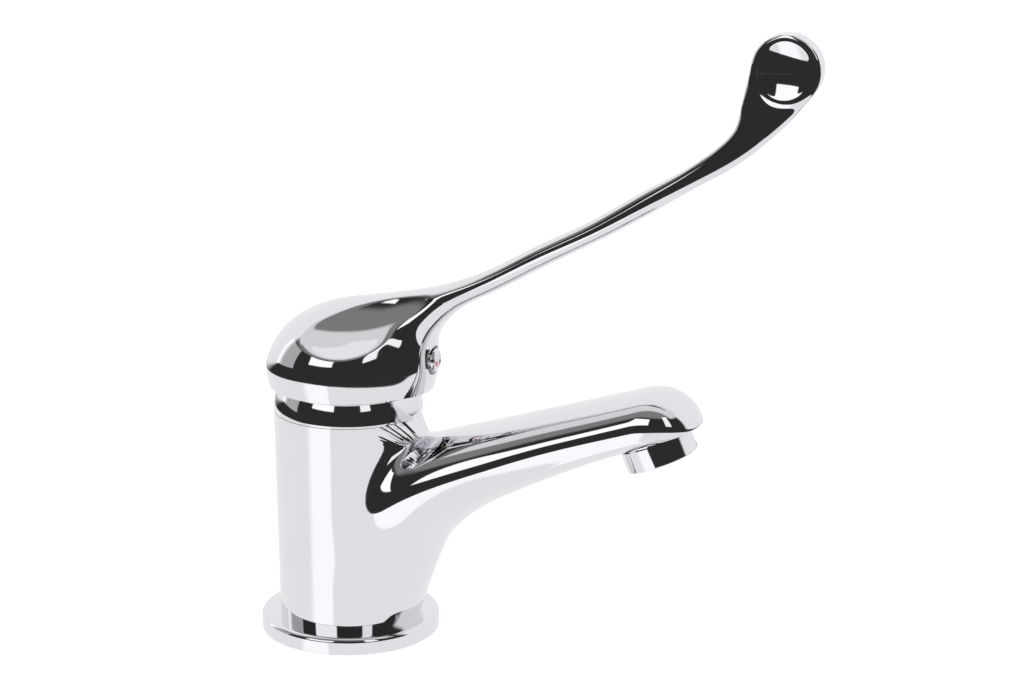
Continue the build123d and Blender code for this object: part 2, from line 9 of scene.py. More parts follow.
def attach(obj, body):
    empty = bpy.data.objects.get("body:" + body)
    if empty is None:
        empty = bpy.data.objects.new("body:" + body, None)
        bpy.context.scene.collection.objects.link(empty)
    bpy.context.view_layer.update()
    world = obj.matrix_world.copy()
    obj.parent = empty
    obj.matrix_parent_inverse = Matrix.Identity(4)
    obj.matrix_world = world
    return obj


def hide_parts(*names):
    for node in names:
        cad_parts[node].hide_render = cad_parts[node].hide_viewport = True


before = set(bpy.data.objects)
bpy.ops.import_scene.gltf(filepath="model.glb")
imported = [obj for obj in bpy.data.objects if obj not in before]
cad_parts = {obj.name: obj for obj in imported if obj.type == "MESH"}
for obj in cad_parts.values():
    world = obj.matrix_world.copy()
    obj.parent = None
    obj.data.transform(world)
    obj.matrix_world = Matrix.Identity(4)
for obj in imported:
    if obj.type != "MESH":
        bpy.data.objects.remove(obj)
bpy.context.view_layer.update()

mm = 0.001
weld, thin = 1e-6, 1e-7  # metres within which points are one
least = 1e-6  # keeps divisions away from zero
pureWhite = (1.0, 1.0, 1.0, 1.0)


# shader sums

class Wire:
    # a socket that takes part in sums
    def __init__(self, nodes, socket):
        self.nodes, self.socket = nodes, socket

    def maths(self, operation, first, second):
        return addNode(self.nodes, "ShaderNodeMath", {"operation": operation}, {0: first, 1: second})

    def __add__(self, other):
        return self.maths("ADD", self, other)

    def __radd__(self, other):
        return self.maths("ADD", other, self)

    def __sub__(self, other):
        return self.maths("SUBTRACT", self, other)

    def __rsub__(self, other):
        return self.maths("SUBTRACT", other, self)

    def __mul__(self, other):
        return self.maths("MULTIPLY", self, other)

    def __pow__(self, other):
        return self.maths("POWER", self, other)


def addNode(nodes, kind, settings=None, inputs=None, output=0):
    node = nodes.new(kind)
    for name, value in (settings or {}).items():
        setattr(node, name, value)
    for key, value in (inputs or {}).items():
        if isinstance(value, Wire):
            nodes.id_data.links.new(value.socket, node.inputs[key])
        else:
            node.inputs[key].default_value = value
    return Wire(nodes, node.outputs[output] if len(node.outputs) else None)


def fade(nodes, value, start, end):
    # rises smoothly from 0 at start to 1 at end
    ranges = {"Value": value, "From Min": start, "From Max": end, "To Min": 0.0, "To Max": 1.0}
    return addNode(nodes, "ShaderNodeMapRange", {"interpolation_type": "SMOOTHSTEP"}, ranges)


def within(nodes, value, low, high, soft):
    # 1 between low and high with soft edges
    rising = fade(nodes, value, low - soft, low + soft)
    return rising * (1 - fade(nodes, value, high - soft, high + soft))


def mixColours(nodes, factor, first, second):
    settings = {"data_type": "RGBA"}
    return addNode(nodes, "ShaderNodeMix", settings, {"Factor": factor, 6: first, 7: second}, 2)


def apart(nodes, place):
    # X, Y and Z of a vector
    return [addNode(nodes, "ShaderNodeSeparateXYZ", None, {"Vector": place}, i) for i in range(3)]


def objectPlace(nodes):
    return addNode(nodes, "ShaderNodeTexCoord", output="Object")


def noise(nodes, place, scale, detail=3.0):
    inputs = {"Vector": place, "Scale": scale, "Detail": detail}
    return addNode(nodes, "ShaderNodeTexNoise", None, inputs)


def newMaterial(name):
    material = bpy.data.materials.new(name)
    material.use_nodes = True
    nodes = material.node_tree.nodes
    nodes.clear()
    return material, nodes


def endShader(nodes, shader, kind="ShaderNodeOutputMaterial"):
    addNode(nodes, kind, None, {"Surface": shader})


# camera

camera = {
    "place": (360.166, -830.934, 357.276), "lens": 100.0, "film": 36.0, "near": 0.05, "far": 30.0,
    # the directions of its right, its top and its back
    "axes": [(0.93918913, 0.34336339, 0.00503564), (-0.09861848, 0.25564312, 0.96172813),
             (0.3289349, -0.90374121, 0.27395922)],
}
lensData = bpy.data.cameras.new("camera")
lensData.lens = camera["lens"]
lensData.sensor_width = camera["film"]
lensData.clip_start = camera["near"]
lensData.clip_end = camera["far"]
cameraObject = bpy.data.objects.new("camera", lensData)
turn = Matrix(camera["axes"]).transposed().to_4x4()
cameraObject.matrix_world = Matrix.Translation([v * mm for v in camera["place"]]) @ turn
bpy.context.scene.collection.objects.link(cameraObject)
bpy.context.scene.camera = cameraObject
bpy.context.scene.view_settings.view_transform = "Standard"
print("camera set")

# studio: a dark room with pale walls, a grey ceiling, three windows and a pale table

studio = {
    "dark": 0.030, "wall": 0.97, "ceiling": 0.22, "table": 0.95, "stripe": 0.27, "backLight": 0.82,
    # windows: from and to azimuth, from and to height in degrees, brightness
    "windows": [(-36.0, 0.0, 12.0, 38.0, 1.25), (-100.0, -62.0, -12.0, 30.0, 0.45),
                (42.0, 58.0, 12.0, 50.0, 1.1)],
    "windowEdge": 0.8,
    # where each part fades, in degrees of azimuth or height, or how far north a direction points
    "backWallNorth": (0.08, 0.28), "leftWallSide": (86.0, 100.0), "leftWallTop": (72.0, 84.0),
    "rightWallSide": (92.0, 102.0), "rightWallTop": (46.0, 56.0),
    "ceilingEdge": (40.0, 50.0), "ceilingDrop": 12.0, "ceilingDropSide": (25.0, 60.0),
    "backLightEdge": (38.0, 46.0), "backLightNorth": (-0.30, -0.18),
    "tableTop": (-6.0, -3.0), "stripeStart": (-47.0, -35.0), "stripeEnd": (-7.0, -4.0),
    "darkTint": (1.0, 0.98, 1.0, 1.0), "paleTint": (1.0, 0.985, 1.0, 1.0),
}
world = bpy.data.worlds.new("studio")
world.use_nodes = True
bpy.context.scene.world = world
nodes = world.node_tree.nodes
nodes.clear()
direction = addNode(nodes, "ShaderNodeTexCoord", output="Generated")
east, north, high = apart(nodes, direction)
degree = 180 / math.pi
azimuth = addNode(nodes, "ShaderNodeMath", {"operation": "ARCTAN2"}, {0: east, 1: 0 - north}) * degree
climb = addNode(nodes, "ShaderNodeMath", {"operation": "ARCSINE"}, {0: high}) * degree
lights, soft = 0.0, studio["windowEdge"]
for left, right, low, top, strength in studio["windows"]:
    wide = within(nodes, azimuth, left, right, soft)
    lights = lights + wide * within(nodes, climb, low, top, soft) * strength
backWall = fade(nodes, north, *studio["backWallNorth"])
leftWall = fade(nodes, 0 - azimuth, *studio["leftWallSide"])
leftWall = leftWall * (1 - fade(nodes, climb, *studio["leftWallTop"]))
rightWall = fade(nodes, azimuth, *studio["rightWallSide"])
rightWall = rightWall * (1 - fade(nodes, climb, *studio["rightWallTop"]))
# the ceiling comes lower on the left, and is lit from overhead to the back wall
drop = fade(nodes, 0 - azimuth, *studio["ceilingDropSide"]) * studio["ceilingDrop"]
ceiling = fade(nodes, climb + drop, *studio["ceilingEdge"]) * studio["ceiling"]
ceilingLight = fade(nodes, climb, *studio["backLightEdge"])
ceilingLight = ceilingLight * fade(nodes, north, *studio["backLightNorth"]) * studio["backLight"]
pale = backWall
for wall in (leftWall, rightWall, ceiling, ceilingLight):
    pale = addNode(nodes, "ShaderNodeMath", {"operation": "MAXIMUM"}, {0: pale, 1: wall})
level = studio["dark"] + pale * (studio["wall"] - studio["dark"]) + lights
tint = mixColours(nodes, pale, studio["darkTint"], studio["paleTint"])
# below the horizon lies the table, with a brighter stripe on it
below = 1 - fade(nodes, climb, *studio["tableTop"])
stripe = fade(nodes, azimuth, *studio["stripeStart"])
stripe = stripe * (1 - fade(nodes, azimuth, *studio["stripeEnd"])) * studio["stripe"]
level = level * (1 - below) + (studio["table"] + stripe) * below
room = addNode(nodes, "ShaderNodeBackground", None, {"Color": tint, "Strength": level})
white = addNode(nodes, "ShaderNodeBackground", None, {"Color": pureWhite, "Strength": 1.0})
seen = addNode(nodes, "ShaderNodeLightPath", output="Is Camera Ray")
shown = addNode(nodes, "ShaderNodeMixShader", None, {0: seen, 1: room, 2: white})
endShader(nodes, shown, "ShaderNodeOutputWorld")

softLamp = {"size": 0.9, "energy": 9.0, "place": (-0.5, -0.6, 1.5), "turn": -0.35, "lean": 0.45}
lamp = bpy.data.lights.new("soft lamp", "AREA")
lamp.shape = "DISK"
lamp.size = softLamp["size"]
lamp.energy = softLamp["energy"]
lampObject = bpy.data.objects.new("soft lamp", lamp)
turn = Matrix.Rotation(softLamp["turn"], 4, "Z") @ Matrix.Rotation(softLamp["lean"], 4, "X")
lampObject.matrix_world = Matrix.Translation(softLamp["place"]) @ turn
lampObject.visible_glossy = False
bpy.context.scene.collection.objects.link(lampObject)

# floor: white to the camera, and a round pale table with a dark room beyond it to the chrome

floorSizes = {"half": 3.0, "tableCentre": (-0.035, 0.0), "tableRadius": 0.33, "edge": 0.006,
              "behind": (0.15, 0.35), "behindLevel": 0.9, "paint": (0.55, 0.55, 0.55, 1.0), "glow": 0.80}
half = floorSizes["half"]
floorMesh = bpy.data.meshes.new("floor")
corners = [(-half, -half, 0.0), (half, -half, 0.0), (half, half, 0.0), (-half, half, 0.0)]
floorMesh.from_pydata(corners, [], [(0, 1, 2, 3)])
floor = bpy.data.objects.new("floor", floorMesh)
bpy.context.scene.collection.objects.link(floor)
material, nodes = newMaterial("floor")
east, north = apart(nodes, objectPlace(nodes))[:2]
east = east - floorSizes["tableCentre"][0]
north = north - floorSizes["tableCentre"][1]
distance = (east * east + north * north) ** 0.5
radius, edge = floorSizes["tableRadius"], floorSizes["edge"]
offTable = fade(nodes, distance, radius - edge, radius + edge)
level = studio["dark"] + fade(nodes, north, *floorSizes["behind"]) * floorSizes["behindLevel"]
beyond = addNode(nodes, "ShaderNodeEmission", None, {"Color": studio["paleTint"], "Strength": level})
clear = addNode(nodes, "ShaderNodeBsdfTransparent", None, {"Color": pureWhite})
mirrored = addNode(nodes, "ShaderNodeMixShader", None, {0: offTable, 1: clear, 2: beyond})
paint = addNode(nodes, "ShaderNodeBsdfDiffuse", None, {"Color": floorSizes["paint"]})
glow = addNode(nodes, "ShaderNodeEmission", None, {"Color": pureWhite, "Strength": floorSizes["glow"]})
plain = addNode(nodes, "ShaderNodeAddShader", None, {0: paint, 1: glow})
glossy = addNode(nodes, "ShaderNodeLightPath", output="Is Glossy Ray")
endShader(nodes, addNode(nodes, "ShaderNodeMixShader", None, {0: glossy, 1: plain, 2: mirrored}))
floorMesh.materials.append(material)
print("studio set")


# materials

def surface(name, look):
    # one plain finish: a colour with faint patches, a roughness that varies and a fine grain
    material, nodes = newMaterial(name)
    place = objectPlace(nodes)
    patches = noise(nodes, place, look["patchScale"])
    grain = noise(nodes, place, look["grainScale"], 4.0)
    dim = tuple(v * look["dim"] for v in look["colour"]) + (1.0,)
    colour = mixColours(nodes, patches, tuple(look["colour"]) + (1.0,), dim)
    rough = look["rough"] + (patches - 0.5) * look["roughSpread"]
    bump = {"Height": grain, "Strength": look["grainStrength"], "Distance": look["grainDepth"]}
    normal = addNode(nodes, "ShaderNodeBump", None, bump)
    sockets = {"Base Color": colour, "Roughness": rough, "Metallic": look["metal"], "Normal": normal}
    endShader(nodes, addNode(nodes, "ShaderNodeBsdfPrincipled", None, sockets))
    return material


looks = {
    "chrome_plate": {"colour": (0.80, 0.795, 0.815), "dim": 0.97, "metal": 1.0, "rough": 0.045,
                     "roughSpread": 0.03, "patchScale": 60.0, "grainScale": 900.0,
                     "grainStrength": 0.02, "grainDepth": 0.0001},
    "black_rubber": {"colour": (0.03, 0.03, 0.03), "dim": 0.6, "metal": 0.0, "rough": 0.6,
                     "roughSpread": 0.15, "patchScale": 90.0, "grainScale": 1500.0,
                     "grainStrength": 0.3, "grainDepth": 0.0001},
    "cartridge_plastic": {"colour": (0.82, 0.82, 0.80), "dim": 0.94, "metal": 0.0, "rough": 0.42,
                          "roughSpread": 0.12, "patchScale": 80.0, "grainScale": 1200.0,
                          "grainStrength": 0.15, "grainDepth": 0.0001},
    "disc_ceramic": {"colour": (0.88, 0.87, 0.83), "dim": 0.96, "metal": 0.0, "rough": 0.2,
                     "roughSpread": 0.08, "patchScale": 120.0, "grainScale": 2500.0,
                     "grainStrength": 0.1, "grainDepth": 0.00005},
    "nut_brass": {"colour": (0.72, 0.56, 0.26), "dim": 0.88, "metal": 1.0, "rough": 0.3,
                  "roughSpread": 0.15, "patchScale": 100.0, "grainScale": 1800.0,
                  "grainStrength": 0.2, "grainDepth": 0.0001},
    "spindle_brass": {"colour": (0.72, 0.56, 0.26), "dim": 0.9, "metal": 1.0, "rough": 0.25,
                      "roughSpread": 0.12, "patchScale": 140.0, "grainScale": 2000.0,
                      "grainStrength": 0.15, "grainDepth": 0.0001},
    "bare_steel": {"colour": (0.60, 0.60, 0.61), "dim": 0.92, "metal": 1.0, "rough": 0.28,
                   "roughSpread": 0.12, "patchScale": 160.0, "grainScale": 2200.0,
                   "grainStrength": 0.15, "grainDepth": 0.0001},
    "insert_plastic": {"colour": (0.55, 0.57, 0.60), "dim": 0.93, "metal": 0.0, "rough": 0.4,
                       "roughSpread": 0.12, "patchScale": 150.0, "grainScale": 1600.0,
                       "grainStrength": 0.15, "grainDepth": 0.0001},
    "hot_red": {"colour": (0.75, 0.03, 0.04), "dim": 0.9, "metal": 0.0, "rough": 0.25,
                "roughSpread": 0.1, "patchScale": 400.0, "grainScale": 3000.0,
                "grainStrength": 0.1, "grainDepth": 0.00005},
    "cold_blue": {"colour": (0.03, 0.12, 0.65), "dim": 0.9, "metal": 0.0, "rough": 0.25,
                  "roughSpread": 0.1, "patchScale": 400.0, "grainScale": 3000.0,
                  "grainStrength": 0.1, "grainDepth": 0.00005},
}
finishes = {name: surface(name, look) for name, look in looks.items()}
nodeFinishes = {
    "chrome_plate": ["tap_body", "base_ring", "bonnet_collar", "lever_handle", "aerator_housing",
                     "index_plug"],
    "black_rubber": ["base_gasket", "collar_o_ring", "port_seals", "disc_seals", "rotor_o_ring",
                     "aerator_washer"],
    "cartridge_plastic": ["cartridge_housing", "cartridge_base", "rotor", "disc_carrier", "slip_ring"],
    "disc_ceramic": ["fixed_disc", "moving_disc"],
    "nut_brass": ["cartridge_nut"],
    "spindle_brass": ["spindle"],
    "bare_steel": ["grub_screw", "spindle_pin", "aerator_screen"],
    "insert_plastic": ["aerator_insert"],
    "hot_red": ["hot_mark"],
    "cold_blue": ["cold_mark"],
}
for finish, names in nodeFinishes.items():
    for name in names:
        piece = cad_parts[name]
        piece.data.materials.clear()
        piece.data.materials.append(finishes[finish])
print("materials set")

# fine cast shapes: rings of points are laid round a middle, and each point is moved out along its
# ray until it leaves the shape, which is a smooth union of simple forms

halvings = 26  # of the last step, to find the surface
sharpAngle = 32.0  # edges bent by more degrees stay sharp


def runs(points):
    # distance of each point along their line
    return np.concatenate([[0], np.cumsum(np.hypot(*np.diff(points, axis=0).T))])


def smoothTable(knots, values, places):
    # a natural cubic through a table, one column per value
    knots, values = np.asarray(knots, float), np.asarray(values, float)
    gaps = np.diff(knots)
    count = len(knots)
    system, right = np.eye(count), np.zeros_like(values)
    for i in range(1, count - 1):
        system[i, i - 1:i + 2] = gaps[i - 1], 2 * (gaps[i - 1] + gaps[i]), gaps[i]
        after, before = (values[i + 1] - values[i]) / gaps[i], (values[i] - values[i - 1]) / gaps[i - 1]
        right[i] = 6 * (after - before)
    bend = np.linalg.solve(system, right)
    span = np.clip(np.searchsorted(knots, places) - 1, 0, count - 2)
    gap = gaps[span][:, None]
    left, done = (knots[span + 1] - places)[:, None], (places - knots[span])[:, None]
    curve = (bend[span] * left ** 3 + bend[span + 1] * done ** 3) / (6 * gap)
    start = (values[span] / gap - bend[span] * gap / 6) * left
    end = (values[span + 1] / gap - bend[span + 1] * gap / 6) * done
    return curve + start + end


def joined(first, second, width):
    # the nearer of two forms, with a fillet about as wide as width
    close = np.maximum(width - np.abs(first - second), 0) / width
    return np.minimum(first, second) - close ** 3 * width / 6


def cutBy(first, second, width):
    # the first form less the second, with its edge rounded
    return -joined(-first, second, width)


def sectionLines(rows):
    # length and direction of each section's line, and where on it the section is widest
    line = rows[:, 2:4] - rows[:, :2]
    lengths = np.hypot(*line.T)
    return lengths, line / lengths[:, None], rows[:, :2] + line * rows[:, 5:6]


def sectionField(places, belly, axis, half, arms, squares):
    # how far places lie outside a section, whose arm and squareness differ above and below
    climbed = ((places[:, ::2] - belly) * axis).sum(1)
    arm, square = np.where(climbed > 0, *arms), np.where(climbed > 0, *squares)
    sideways = np.abs(places[:, 1]) / half
    ratio = ((np.abs(climbed) / arm) ** square + sideways ** square) ** (1 / square)
    return np.hypot(climbed, places[:, 1]) * (1 - 1 / np.maximum(ratio, least))


def rayShape(middles, axes, columns, field, reach, steps):
    # middles and axes hold one point and one direction in the XZ plane for each ring
    rows = len(middles)
    mesh = bmesh.new()
    bmesh.ops.create_grid(mesh, x_segments=columns, y_segments=rows - 1, size=1.0)
    mesh.verts.ensure_lookup_table()
    spots = np.array([v.co[:2] for v in mesh.verts])
    column = np.rint((spots[:, 0] + 1) / 2 * columns).astype(int)
    row = np.rint((spots[:, 1] + 1) / 2 * (rows - 1)).astype(int)
    turnBy = column * (2 * math.pi / columns)
    middle = np.stack([middles[row, 0], np.zeros(len(row)), middles[row, 1]], 1)
    across = np.sin(turnBy)[:, None] * np.array([0.0, 1.0, 0.0])
    ahead = np.stack([axes[row, 0], np.zeros(len(row)), axes[row, 1]], 1)
    ray = np.cos(turnBy)[:, None] * ahead + across
    low, step = np.zeros(len(row)), reach / steps
    out = np.zeros(len(row), bool)
    for i in range(steps):
        inside = field(middle + ray * (low + step)[:, None], row) < 0
        out |= ~inside
        low = np.where(out, low, low + step)
    high = low + step
    for i in range(halvings):
        half = (low + high) / 2
        inside = field(middle + ray * half[:, None], row) < 0
        low, high = np.where(inside, half, low), np.where(inside, high, half)
    places = (middle + ray * low[:, None]) * mm
    for vert, place in zip(mesh.verts, places):
        vert.co = place
    bmesh.ops.remove_doubles(mesh, verts=mesh.verts, dist=weld)
    return mesh


def closeHoles(mesh):
    edges = [edge for edge in mesh.edges if edge.is_boundary]
    bmesh.ops.holes_fill(mesh, edges=edges, sides=0)


def openEdges(mesh, low, high):
    ends = [edge for edge in mesh.edges if edge.is_boundary]
    return [edge for edge in ends if low * mm < edge.verts[0].co.z < high * mm]


def stepIn(mesh, edges, radius, height):
    # carries an open edge on to a circle about Z
    made = bmesh.ops.extrude_edge_only(mesh, edges=edges)["geom"]
    for vert in made:
        if isinstance(vert, bmesh.types.BMVert):
            share = radius * mm / math.hypot(vert.co.x, vert.co.y)
            vert.co = (vert.co.x * share, vert.co.y * share, height * mm)
    return [edge for edge in made if isinstance(edge, bmesh.types.BMEdge) and edge.is_boundary]


def finishPiece(mesh, name, body, finish, node):
    bmesh.ops.recalc_face_normals(mesh, faces=mesh.faces)
    data = bpy.data.meshes.new(name)
    mesh.to_mesh(data)
    mesh.free()
    for face in data.polygons:
        face.use_smooth = True
    data.set_sharp_from_angle(angle=math.radians(sharpAngle))
    data.materials.append(finishes[finish])
    piece = bpy.data.objects.new(name, data)
    bpy.context.scene.collection.objects.link(piece)
    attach(piece, body)
    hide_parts(node)


# cast body with its spout, which flow into each other

tap = {
    # underside X and Z, top X and Z, half width, where the widest level lies, squareness, middle X
    "stations": [
        (24.3, 5.8, -11.0, 5.8, 17.0, 0.50, 2.00, 1.0),
        (29.3, 20.7, -6.6, 31.8, 18.6, 0.50, 2.00, 3.0),
        (33.7, 31.9, 0.0, 45.2, 19.3, 0.50, 2.02, 7.0),
        (40.4, 41.2, 16.4, 63.6, 19.7, 0.50, 2.05, 20.0),
        (49.3, 48.6, 32.6, 71.5, 18.7, 0.50, 2.08, 41.0),
        (63.2, 56.6, 51.6, 77.5, 16.9, 0.49, 2.10, 57.4),
        (79.4, 64.7, 70.7, 83.7, 15.9, 0.47, 2.13, 75.0),
        (92.3, 70.4, 84.6, 88.1, 15.6, 0.45, 2.18, 88.4),
        (105.7, 76.0, 99.1, 92.8, 15.4, 0.42, 2.26, 102.4),
    ],
    "foot": 5.8, "footRadius": 23.7, "top": 76.6, "topRadius": 24.9, "topExtra": 3.0,
    "noseLength": 18.4, "noseDroop": 4.26, "noseFullness": 2.8, "noseCurl": 2.5,
    "rows": 250, "noseRows": 70, "columns": 300, "reach": 60.0, "steps": 60, "flattest": -0.05,
    # the fillet widens from the foot's to the root's over this height
    "footFillet": 1.5, "rootFillet": 10.0, "filletFrom": 8.0, "filletOver": 22.0,
    "outlet": (106.73, 77.64), "tilt": 23.0, "outletRound": 1.0, "outletFrom": 84.0,
    # the top is cut only above this height and behind this X
    "cutAbove": 62.0, "cutBehind": 33.0,
    "bore": [(22.4, 76.6), (22.4, 66.0), (20.2, 66.0), (20.2, 43.0)],
    "recess": [(18.5, 5.8), (18.5, 22.0)],
}
table = np.array(tap["stations"])
along = runs((table[:, :2] + table[:, 2:4]) / 2)
rows = smoothTable(along, table, np.linspace(0, along[-1], tap["rows"]))
# the nose goes on as the sections end
slope = (rows[-1] - rows[-2]) * (tap["rows"] - 1) / along[-1]
forward = (slope[:2] + slope[2:4]) / 2
upward = np.array([-forward[1], forward[0]])
slope[:2] -= forward
slope[2:4] -= forward
slope[7] -= forward[0]
share = np.sin(np.linspace(0, math.pi / 2, tap["noseRows"] + 1))[1:-1]
size = np.sqrt(1 - share ** tap["noseFullness"])
shift = np.outer(share * tap["noseLength"], forward)
shift -= np.outer(share ** tap["noseCurl"] * tap["noseDroop"], upward)
last = rows[-1]
nose = last + np.outer(tap["noseLength"] * share * (1 - share) ** 2, slope)
nose[:, :2] += shift
nose[:, 2:4] += shift
nose[:, 7] += shift[:, 0]
rows = np.concatenate([rows, nose])
sizes = np.concatenate([np.ones(tap["rows"]), size])
lengths, axes, bellies = sectionLines(rows)
# the middle lies on the line of the section, at its own X
middleShare = (rows[:, 7] - bellies[:, 0]) / np.minimum(axes[:, 0], tap["flattest"])
middles = bellies + axes * middleShare[:, None]
# on the nose the middles draw in to the widest level
onNose = np.arange(len(rows)) >= tap["rows"]
ahead = middles[tap["rows"] - 1] - bellies[tap["rows"] - 1]
middles[onNose] = bellies[onNose] + np.outer(sizes[onNose] ** 2, ahead)
tilt = math.radians(tap["tilt"])
outletUp = np.array([-math.sin(tilt), math.cos(tilt)])


def bodyField(places, row):
    length, size, level, square = lengths[row], sizes[row], rows[row, 5], rows[row, 6]
    arms = (1 - level) * length * size, level * length * size
    half = rows[row, 4] * size
    spout = sectionField(places, bellies[row], axes[row], half, arms, (square, square))
    east, north, high = places.T
    rise = (high - tap["foot"]) / (tap["top"] - tap["foot"])
    barrel = np.hypot(east, north) - tap["footRadius"] - rise * (tap["topRadius"] - tap["footRadius"])
    barrel = np.maximum(barrel, high - tap["top"] - tap["topExtra"])
    widened = np.clip((high - tap["filletFrom"]) / tap["filletOver"], 0, 1)
    fillet = tap["footFillet"] + (tap["rootFillet"] - tap["footFillet"]) * widened
    shape = joined(spout, barrel, fillet)
    face = ((places[:, ::2] - np.array(tap["outlet"])) * outletUp).sum(1)
    return np.where(east > tap["outletFrom"], cutBy(shape, face, tap["outletRound"]), shape)


mesh = rayShape(middles, axes, tap["columns"], bodyField, tap["reach"], tap["steps"])
topEdge = tap["top"] * mm
edges = openEdges(mesh, tap["foot"] - 1, tap["foot"] + 1)
for radius, height in tap["recess"]:
    edges = stepIn(mesh, edges, radius, height)
closeHoles(mesh)


def facesAbove(height):
    centres = [(face, face.calc_center_median()) for face in mesh.faces]
    return [face for face, centre in centres if centre.z > height and centre.x < tap["cutBehind"] * mm]


upper = facesAbove(tap["cutAbove"] * mm)
geometry = list({*upper, *[e for f in upper for e in f.edges], *[v for f in upper for v in f.verts]})
bmesh.ops.bisect_plane(mesh, geom=geometry, dist=thin, plane_co=(0, 0, topEdge), plane_no=(0, 0, 1))
bmesh.ops.delete(mesh, geom=facesAbove(topEdge + thin), context="FACES")
edges = [edge for edge in mesh.edges if edge.is_boundary]
for radius, height in tap["bore"]:
    edges = stepIn(mesh, edges, radius, height)
closeHoles(mesh)
finishPiece(mesh, "tapBody", "body", "chrome_plate", "tap_body")
print("body shaped")

# cast lever: hub, stalk and dished pad

lever = {
    # front X and Z, back X and Z, half width, where the widest level lies, squareness above and
    # below that level, middle X
    "stations": [
        (28.7, 85.6, 1.3, 85.6, 12.5, 0.50, 2.0, 2.4, 0.0),
        (30.8, 94.3, 0.0, 99.5, 12.5, 0.50, 2.0, 2.5, 0.0),
        (31.0, 101.8, -3.0, 110.4, 12.4, 0.55, 2.0, 2.6, 8.0),
        (33.9, 108.1, 8.9, 115.9, 10.3, 0.62, 2.0, 2.7, 20.0),
        (41.4, 115.5, 28.8, 120.4, 7.1, 0.66, 2.0, 2.5, 36.0),
        (52.5, 121.7, 47.6, 127.5, 5.2, 0.64, 2.0, 2.3, 50.2),
        (69.3, 131.5, 64.8, 137.2, 4.5, 0.60, 2.0, 2.2, 67.2),
        (88.1, 142.0, 83.5, 147.3, 4.1, 0.54, 2.1, 2.2, 85.8),
        (106.5, 153.3, 102.1, 159.1, 3.7, 0.50, 2.2, 2.3, 104.3),
        (119.8, 161.9, 114.5, 166.6, 3.3, 0.48, 2.7, 2.7, 117.2),
        (133.2, 170.5, 126.0, 175.6, 3.2, 0.48, 3.3, 3.3, 129.6),
        (142.2, 178.4, 130.7, 181.4, 3.3, 0.48, 4.0, 4.0, 137.0),
        (149.9, 186.6, 132.5, 188.6, 3.35, 0.48, 4.6, 4.6, 142.2),
        (155.1, 194.9, 134.3, 196.6, 3.35, 0.50, 5.0, 5.0, 145.6),
        (156.5, 202.2, 136.3, 203.0, 3.3, 0.50, 5.0, 5.0, 147.3),
        (153.6, 207.8, 139.4, 208.0, 3.2, 0.50, 4.6, 4.6, 147.5),
        (148.7, 211.25, 144.5, 211.25, 2.8, 0.50, 4.0, 4.0, 147.5),
    ],
    "hubEnd": 4, "padStart": 11,  # stations
    "hubRows": 198, "stalkRows": 42, "padRows": 89, "columns": 300, "reach": 48.0, "steps": 120,
    "rim": 85.6,
    # hub outline: radius and height
    "hub": [(26.0, 84.0), (26.2, 85.6), (26.75, 88.0), (27.1, 90.5), (27.15, 91.7), (26.9, 93.2),
            (26.2, 95.4), (25.15, 97.6), (23.1, 101.2), (19.7, 105.3), (14.2, 109.3), (8.1, 111.9),
            (0.0, 113.3)],
    # the same across the lever, where the hub is fuller
    "hubSide": [(26.3, 84.0), (26.6, 85.6), (26.98, 88.4), (27.12, 90.5), (27.14, 92.4),
                (26.97, 95.0), (26.5, 97.8), (25.05, 101.5), (22.4, 105.2), (18.0, 108.4),
                (11.6, 111.2), (5.4, 112.7), (0.0, 113.3)],
    # and towards the stalk
    "hubFront": [(26.0, 84.0), (26.2, 85.6), (26.5, 88.4), (26.6, 90.5), (26.6, 92.4),
                 (26.6, 95.0), (26.5, 97.8), (26.2, 101.5), (24.4, 105.2), (20.2, 108.4),
                 (13.4, 111.2), (6.0, 112.7), (0.0, 113.3)],
    "hubMiddle": 88.0, "hubFillet": 9.0, "lowestAngle": -0.15, "angleSteps": 400,
    # side hollow: middle, turn, rise, middle radius, radius of its long curve
    "hollow": ((16.06, 30.30, 128.83), 12.2, 18.4, 27.95, 55.4), "hollowEdge": 1.4,
    "hollowLeast": 100.0,  # keeps its root real beyond its ends
    "pad": (146.6, 200.5), "padRadius": 10.95, "padHalf": 3.4, "padRound": 1.2, "padFillet": 3.0,
    "padFrom": 110.0,
    # radius and how far out the ball's middle lies, then X, height and radius of the plug's seat
    "dish": (22.5, 24.35), "dishEdge": 0.35, "button": (28.4, 96.3, 4.7), "buttonEdge": 0.4,
    "cavity": [(25.15, 85.6), (25.15, 89.2), (24.1, 93.3), (21.1, 97.1), (16.9, 100.0), (11.6, 102.2)],
}
table = np.array(lever["stations"])
along = runs((table[:, :2] + table[:, 2:4]) / 2)
hubEnd, padStart = along[lever["hubEnd"]], along[lever["padStart"]]
hubRows = np.linspace(0, hubEnd, lever["hubRows"], endpoint=False)
stalkRows = np.linspace(hubEnd, padStart, lever["stalkRows"], endpoint=False)
padShare = np.sin(np.linspace(0, math.pi / 2, lever["padRows"]))
padRows = padStart + (along[-1] - padStart) * padShare
leverRows = smoothTable(along, table, np.concatenate([hubRows, stalkRows, padRows]))
leverLengths, leverAxes, leverBellies = sectionLines(leverRows)
middleShare = (leverRows[:, 8] - leverBellies[:, 0]) / leverAxes[:, 0]
middles = leverBellies + leverAxes * middleShare[:, None]
fineAngles = np.linspace(lever["lowestAngle"], math.pi / 2, lever["angleSteps"])
hubReaches = []
for key in ("hub", "hubSide", "hubFront"):
    points = np.array(lever[key])
    points[:, 1] -= lever["hubMiddle"]
    angles = np.arctan2(points[:, 1], points[:, 0])
    hubReaches.append(smoothTable(angles, np.hypot(*points.T)[:, None], fineAngles)[:, 0])


